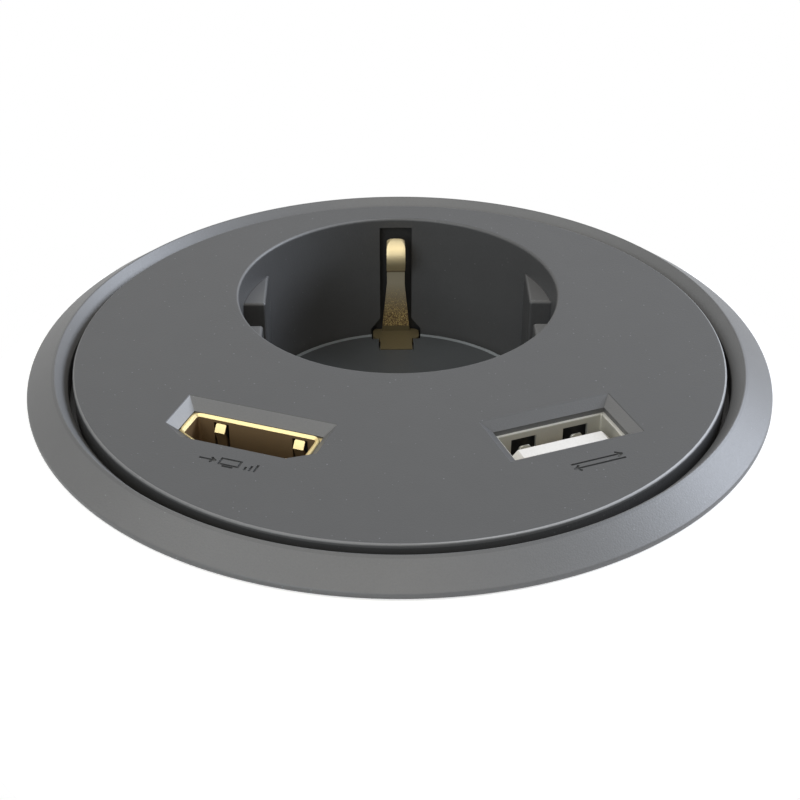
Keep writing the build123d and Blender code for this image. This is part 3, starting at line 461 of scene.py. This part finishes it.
def turn_rim(mesh, steps=256, rows=8):
    """Gives the plate's copy an evenly turned rim round the well."""
    shape = bmesh.new()
    shape.from_mesh(mesh)
    bmesh.ops.delete(shape, context="FACES", geom=[
        face for face in shape.faces if all(rim_way(point.co) for point in face.verts)])
    border = {point for edge in shape.edges if edge.is_boundary for point in edge.verts}
    upper = {point for point in border if point.co.z > (face_z - rim_edge / 2) * mm}
    turned = []
    for row in range(1, rows):
        turn = pi / 2 * row / rows
        radius = rim_r + rim_edge - rim_edge * sin(turn)
        z = face_z - rim_edge + rim_edge * cos(turn)
        turned.append([shape.verts.new(Vector((
            radius * cos(2 * pi * k / steps), radius * sin(2 * pi * k / steps) + well_y, z)) * mm)
            for k in range(steps)])
    turned = [sorted(row, key=lambda point: azimuth_of([point], 0))
              for row in (upper, *turned, border - upper)]
    for above, below in zip(turned, turned[1:]):
        fill_strip(shape, above, below)
    shape.to_mesh(mesh)
    shape.free()


def shade_as_cad(mesh, node):
    """Gives a copy the shading of its CAD node: round on its fillets, flat elsewhere."""
    source = nodes[node].data
    corners = KDTree(len(source.loops))
    for corner in source.loops:
        corners.insert(source.vertices[corner.vertex_index].co, corner.index)
    corners.balance()
    shading = []
    for face in mesh.polygons:
        for point in face.vertices:
            near = corners.find_range(mesh.vertices[point].co, 0.001 * mm)
            ways = [source.corner_normals[corner].vector for _, corner, _ in near]
            ways = ways or rim_way(mesh.vertices[point].co)
            way = max(ways, key=face.normal.dot, default=face.normal)
            shading.append(way if way.dot(face.normal) > 0.85 else face.normal)
    mesh.shade_smooth()
    mesh.normals_split_custom_set(shading)


def port_frame(x, y, turn, z=0.0):
    """Placing matrix of a port: its width along X and its far side along Y."""
    return Matrix.Translation(Vector((x, y, z)) * mm) @ Matrix.Rotation(radians(turn), 4, "Z")


video_at, data_at, port_turn = (-16.76, -17.13), (17.19, -17.26), 20.7
sunk, stroke_w = 0.18, 0.27
arrow_in = ((-2.4, -6.6, -0.7, -6.6), (-1.1, -6.25, -0.7, -6.6), (-1.1, -6.95, -0.7, -6.6))
screen = ((-0.1, -7.0, 2.1, -7.0), (2.1, -7.0, 2.1, -6.0), (2.1, -6.0, -0.1, -6.0),
          (-0.1, -6.0, -0.1, -7.0), (0.5, -7.3, 1.5, -7.3))
bars = ((2.9, -7.1, 2.9, -6.75), (3.45, -7.1, 3.45, -6.4), (4.0, -7.1, 4.0, -6.05))
two_ways = ((-2.2, -6.95, 3.6, -6.95), (3.1, -6.55, 3.6, -6.95), (3.1, -7.35, 3.6, -6.95),
            (-2.2, -7.75, 3.6, -7.75), (-2.2, -7.75, -1.7, -7.35), (-2.2, -7.75, -1.7, -8.15))
cutter = bmesh.new()
for place, strokes in ((port_frame(*video_at, -port_turn, face_z), arrow_in + screen + bars),
                       (port_frame(*data_at, port_turn, face_z), two_ways)):
    for u0, v0, u1, v1 in strokes:
        start, end = Vector((u0, v0, 0)), Vector((u1, v1, 0))
        turn = (end - start).to_track_quat("X", "Z").to_matrix().to_4x4()
        size = Vector(((end - start).length + stroke_w, stroke_w, 2 * sunk, 1 / mm)) * mm
        bmesh.ops.create_cube(cutter, size=1.0, matrix=place @ Matrix.Translation(
            (start + end) / 2 * mm) @ turn @ Matrix.Diagonal(size))
marks = bpy.data.meshes.new("marks")
cutter.to_mesh(marks)
cutter.free()
marks = make_object("marks", marks)
plate = make_object("face_plate_marked", clean_copy("face_plate", "face_plate_plain"))
sinking = plate.modifiers.new("marks", "BOOLEAN")
sinking.object, sinking.solver, sinking.use_self = marks, "EXACT", True
cut = plate.evaluated_get(bpy.context.evaluated_depsgraph_get())
plate.data = bpy.data.meshes.new_from_object(cut)
plate.modifiers.clear()
bpy.data.objects.remove(marks)
turn_rim(plate.data)
shade_as_cad(plate.data, "face_plate")


def slope(azimuth):
    """The way of a 45 degree slope that looks to an azimuth in degrees."""
    return cos(radians(azimuth)) * 0.707, sin(radians(azimuth)) * 0.707, 0.707


# Painted shade and painted highlights on the disc's edge, its gap, the well's rim, its wall, the
# slots for the earth contact, the guide ribs and the ports' bevels. The painted light on most
# bevels looks along or across their port.
edge_zone, gap_zone = (*axis, 37.4, 40.0, 2.56), (*axis, 37.4, 40.0, 2.1)
rim_zone, wall_zone = (0.0, well_y, 19.7, 20.3, 2.56), (0.0, well_y, 19.6, 19.8, 2.2)
slot_zone, rib_zone = (0.0, well_y, 19.82, 21.0, 1.25), (0.0, well_y, 16.6, 19.6, -0.5)
video_zone, data_zone = (*video_at, 0.0, 10.5, 2.5), (*data_at, 0.0, 10.0, 2.5)
data_pocket_zone = (*data_at, 0.0, 9.0, 0.4)
show(plate, moulded("plate_moulding", paint(70, 70, 70), 0.5, 1.0, 0.25, [
    (*edge_zone, 1.6, None), (*edge_zone, 2.8, slope(-30)), (*edge_zone, 1.7, slope(-130)),
    (*gap_zone, 0.5, None), (*wall_zone, 0.87, None),
    (*rim_zone, 1.25, None), (*rim_zone, 1.5, slope(-35)), (*slot_zone, 0.35, None),
    (*rib_zone, 1.8, (0, 0, 1)), (*rib_zone, 0.5, (1, 0, 0)), (*rib_zone, 0.7, (-1, 0, 0)),
    (*video_zone, 1.95, slope(-90 - port_turn)), (*video_zone, 3.4, slope(-port_turn)),
    (*video_zone, 0.6, slope(45)), (*video_zone, 1.8, slope(180 - port_turn)),
    (*data_zone, 1.1, slope(-90 + port_turn)), (*data_zone, 0.8, slope(port_turn)),
    (*data_zone, 2.2, slope(180 + port_turn)), (*data_pocket_zone, 0.25, None)]), "face_plate")

# The floor of the well. A round moulded plate with two pin holes, dropped in from behind and
# held by the contact block. A painted highlight makes a light line along its rounded edge by the
# wall.

dress("well_floor", moulded("floor_moulding", paint(69, 72, 74), 0.42, 0.6, 0.0,
                            [(0.0, well_y, 18.55, 20.0, 0.0, 4.0, None)]))

# The earth contact. One strip of plated nickel silver, bent up at both ends of the well into
# a sprung finger with a rolled head. Down the legs, painted shade darkens it to the foot, with
# painted glints as pale specks.


def ease_edges(piece, width, segments=2, angle=35):
    """Rounds the edges over an angle in degrees by a width in mm."""
    eased = piece.modifiers.new("eased_edges", "BEVEL")
    eased.width, eased.segments, eased.limit_method = width * mm, segments, "ANGLE"
    eased.angle_limit = radians(angle)


def softened(node, width, finish, shaped=None):
    """Shows a CAD node as a copy with its edges eased by a width in mm.

    The shaped argument is a function that moves the copy's points, in mm, before that.
    """
    mesh = clean_copy(node, node + "_eased")
    if shaped:
        for vertex in mesh.vertices:
            vertex.co = shaped(vertex.co / mm) * mm
    piece = make_object(node + "_eased", mesh)
    piece.data.shade_smooth()
    ease_edges(piece, width)
    piece.modifiers.new("flat_faces", "WEIGHTED_NORMAL")
    show(piece, finish, node)


def plated(name, colour, rough=0.28, grain=0.3, patchy=0.3, colouring=None):
    """Stamped and plated sheet: drawn grain, patches, and a colouring that may vary with place.

    The colouring gives the colour and how metallic it is.
    """
    drawn_scale, patch_scale = 3800.0, 420.0
    finish = Finish(bpy.data.materials.new(name))
    where, _, _, z = finish.place()
    drawn = finish.noise(where, drawn_scale, 4.0, 0.7)
    patches = finish.noise(where, patch_scale)
    base = finish.tone(colour, 1 - patchy / 2 + patchy * patches)
    metal = 1.0
    if colouring:
        base, metal = colouring(finish, base, where, z)
    bump = finish.node("ShaderNodeBump", {}, {
        "Height": drawn, "Strength": grain, "Distance": 0.00003})
    shader = finish.node("ShaderNodeBsdfPrincipled", {}, {
        "Base Color": base, "Metallic": metal, "Roughness": rough + 0.18 * (drawn - 0.4),
        "Normal": bump})
    finish.node("ShaderNodeOutputMaterial", {}, {"Surface": shader})
    return finish.owner


def legs_painted_shade(finish, base, where, z):
    """Grey-brown below the rolled head, with painted shade darker to the foot, painted glints as
    pale specks, and a painted shade line in the crease.
    """
    head_low, crease_low, shade_from, shade_full, foot_high = -4.4, -4.75, -6.5, -12.0, -14.0
    glint_scale = 9000.0
    below = (((head_low - 0.1) * mm - z) / (0.3 * mm)).limited()
    # A painted shade line in the crease under the head.
    crease_shade = (z < head_low * mm) * (z > crease_low * mm) * 0.75
    # Painted shade: the legs are darker toward the foot, and the bright specks are painted glints.
    lower = ((shade_from * mm - z) / ((shade_from - shade_full) * mm)).limited()
    leg_shade = finish.mix(lower, paint(176, 165, 140), paint(112, 92, 66))
    glint_noise = finish.noise(where, glint_scale, 0.0)
    painted_glints = ((glint_noise - 0.62 + 0.06 * lower) / 0.05).limited() * lower * 0.9
    leg_shade = finish.mix(painted_glints, leg_shade, paint(236, 208, 140))
    leg_shade = finish.mix(z < foot_high * mm, leg_shade, paint(104, 94, 68))
    colour = finish.mix(crease_shade, finish.mix(below, base, leg_shade), paint(84, 62, 36))
    return colour, 0.45 - 0.2 * below


def rolled_head(point):
    """Narrows the fingers' heads and rounds their upper corners."""
    half, corner, top, head_low = 1.25, 0.85, 0.2, -4.4
    if point.z < head_low:
        return point
    rise = max(point.z - (top - corner), 0.0)
    room = half - corner + max(corner ** 2 - rise ** 2, 0.0) ** 0.5
    return Vector((max(-room, min(room, point.x)), point.y, point.z))


softened("earth_spring", 0.12, plated(
    "nickel_silver", paint(216, 198, 154), 0.46, 0.3, 0.12, legs_painted_shade), rolled_head)

# The contact block. A moulded carrier in smooth grey plastic under the floor. It holds the guard,
# its spring and the pin contacts, and two screws through its ears hold it to the face plate.

zinc = plated("zinc_plate", paint(188, 190, 194), 0.3, 0.25)
softened("contact_block", 0.2, moulded("inner_moulding", paint(190, 190, 185), 0.42, 0.5))
softened("block_screws", 0.12, zinc)

# The guard. A moulded blade that turns on the block's post and covers both pin holes, with a
# small wire spring that turns it back.

softened("shutter", 0.12, moulded("guard_moulding", paint(200, 197, 189), 0.42, 0.5))
dress("shutter_spring", zinc)

# The pin contacts and the three terminal screws. Sprung brass sleeves that take the plug's
# pins, each with a tab where a screw clamps its wire.

brass = plated("contact_brass", paint(205, 176, 112), 0.3)
softened("live_contact", 0.08, brass)
softened("neutral_contact", 0.08, brass)
softened("terminal_screws", 0.12, zinc)

# The video port. A gilded shell with a flared mouth and two sprung fingers in its far wall,
# a black insulator with its contact strips, and the board that leads to the rear socket.


def port_painted_shade(depth, fade, below, shade_colour, glare_shade=0.0):
    """Colouring for a shell: darker walls from a height in mm down, over a fade.

    Below is the painted shade colour's share there: the darker walls are painted shade. Glare is
    how much painted shade darkens the edges that look to the right, at the strongest lamp.
    """
    def colouring(finish, base, where, z):
        looks = finish.node("ShaderNodeNewGeometry", out="Normal")
        x = finish.node("ShaderNodeSeparateXYZ", {}, {0: looks})
        walls = ((0.55 - x.output("Z")) / 0.2).limited()
        painted_light_mask = ((depth * mm - z) / (fade * mm)).limited() * walls * below
        shaded = finish.tone(base, 1 - glare_shade * ((x - 0.2) / 0.2).limited())
        return finish.mix(painted_light_mask, shaded, shade_colour), 0.75 - 0.15 * painted_light_mask
    return colouring


# The shell's inside walls get painted shade, and its edges that look at the strongest lamp a
# painted darkening against its glare.
gilded = plated("gilded_sheet", paint(222, 203, 150), 0.5, 0.3, 0.12,
                port_painted_shade(1.3, 0.1, 0.9, paint(124, 99, 72), 0.48))
contact_gold = plated("gilded_contact", paint(232, 200, 118), 0.25)
insulator = moulded("black_insulator", paint(26, 25, 24), 0.4, 0.5)
laminate = moulded("board_laminate", paint(28, 74, 46), 0.4, 0.5)
softened("video_shell", 0.06, gilded)
softened("video_rear_shell", 0.06, gilded)
softened("video_tongue", 0.06, insulator)
softened("video_rear_tongue", 0.06, insulator)
dress("video_contacts", contact_gold)
dress("video_board", laminate)

# The data port. A nickel-plated shell, stamped and folded, with two sprung fingers, and the
# broad white tongue that fills the near half of the mouth. A board leads to the rear socket.


def make_tongue(node, place, depth, tip):
    """A data socket's insulator: a base block and a broad tongue with cut-back tip corners.

    The place is the mouth's, with Z out of the port. Depth and tip are in mm under the mouth.
    Each part is an outline of (across, rise) points between a near and a far side.
    """
    base_half, base_rise, half, cut, end = 6.25, 3.0, 5.85, 0.8, depth - tip
    base = [(-base_half, 0.0), (-base_half, base_rise), (base_half, base_rise), (base_half, 0.0)]
    blade = [(-half, 0.0), (-half, end - cut), (cut - half, end), (half - cut, end),
             (half, end - cut), (half, 0.0)]
    tongue = bmesh.new()
    for near, far, outline in ((-2.45, 2.45, base), (-1.64, 0.2, blade)):
        sides = [[tongue.verts.new(Vector((u, v, height - depth)) * mm) for u, height in outline]
                 for v in (near, far)]
        tongue.faces.new(sides[0])
        tongue.faces.new(reversed(sides[1]))
        for k in range(len(outline)):
            following = (k + 1) % len(outline)
            tongue.faces.new((sides[0][following], sides[0][k], sides[1][k], sides[1][following]))
    bmesh.ops.recalc_face_normals(tongue, faces=tongue.faces)
    tongue.transform(place)
    mesh = bpy.data.meshes.new(node + "_cut")
    tongue.to_mesh(mesh)
    tongue.free()
    piece = make_object(node + "_cut", mesh)
    ease_edges(piece, 0.14, 3, 50)
    shade_by_edges(piece)
    show(piece, white_plastic, node)


# The shell's inside walls get painted shade.
nickel = plated("nickel_sheet", paint(232, 230, 222), 0.45, 0.6, 0.1,
                port_painted_shade(1.02, 0.12, 0.9, paint(186, 184, 174)))
white_plastic = moulded("white_insulator", paint(219, 216, 211), 0.35, 0.3)
softened("data_shell", 0.04, nickel)
softened("data_rear_shell", 0.04, nickel)
make_tongue("data_tongue", port_frame(*data_at, port_turn, 1.07), 12.0, 0.4)
dress("data_rear_tongue", white_plastic)
dress("data_contacts", contact_gold)
dress("data_board", laminate)

# The rear cover. A moulded cup with spark texture that closes the back. Three screws in deep
# counterbores hold it to the face plate's bosses.

softened("rear_cover", 0.25, moulded("cover_moulding", paint(52, 52, 53), 0.5, 1.2, 0.1))
softened("cover_screws", 0.12, zinc)

# The cable gland. A threaded body and a cap nut in black nylon round a rubber seal, held in
# the cover's floor by a flat hexagon nut.

nylon = moulded("gland_nylon", paint(38, 38, 39), 0.38, 0.5)
softened("gland_body", 0.15, nylon)
softened("gland_locknut", 0.15, nylon)
softened("gland_nut", 0.15, nylon)
dress("gland_seal", moulded("seal_rubber", paint(24, 24, 25), 0.7))

# The clamp washer. A ring of zinc-plated steel whose two lugs slide in the collar's keyways. It
# spreads the nut's pull over the underside of the desk.

softened("clamp_washer", 0.12, zinc)

# The lock nut. A moulded ring with twelve grips, threaded inside to run on the collar. Turned
# by hand, it pulls the flange down on its gasket.

softened("lock_nut", 0.3, moulded("nut_moulding", paint(48, 48, 49), 0.5, 1.2))
